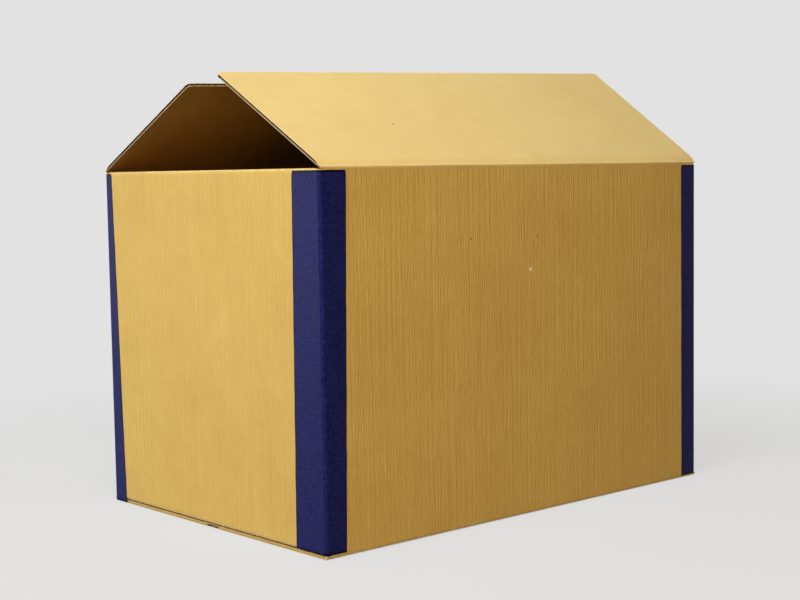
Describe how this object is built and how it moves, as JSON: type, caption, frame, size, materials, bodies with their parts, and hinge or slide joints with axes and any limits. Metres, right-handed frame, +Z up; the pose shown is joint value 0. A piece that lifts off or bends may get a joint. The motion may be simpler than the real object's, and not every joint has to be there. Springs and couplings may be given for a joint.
{
  "type": "moving box",
  "caption": "Slotted moving carton of fluted kraft board, base closed, long top flaps standing half open, cloth tape down the upright corners.",
  "frame": {"origin": "centre of the base, on the surface that the carton rests on", "axes": "+X along the long walls, +Y along the short walls, +Z up; the pictured long wall faces -Y and the pictured short wall faces -X"},
  "size_m": [0.6006, 0.4086, 0.5156],
  "materials": {
    "kraft_board": "matt kraft paper",
    "navy_cloth_tape": "coated woven cloth",
    "kraft_paper_tape": "smooth kraft paper"
  },
  "bodies": {
    "carton": {"carton": "kraft_board", "corner_tape_front_left": "navy_cloth_tape", "corner_tape_front_right": "navy_cloth_tape", "corner_tape_back_left": "navy_cloth_tape", "corner_tape_back_right": "navy_cloth_tape", "bottom_seam_tape": "kraft_paper_tape"},
    "front_flap": {"front_top_flap": "kraft_board"},
    "back_flap": {"back_top_flap": "kraft_board"}
  },
  "joints": [
    {"name": "front_flap_crease", "type": "hinge", "parent": "carton", "child": "front_flap", "pos_m": [0, -0.204, 0.397], "axis": [1, 0, 0], "range_deg": [-29.5, 178]},
    {"name": "back_flap_crease", "type": "hinge", "parent": "carton", "child": "back_flap", "pos_m": [0, 0.204, 0.397], "axis": [-1, 0, 0], "range_deg": [-26.5, 178]}
  ]
}
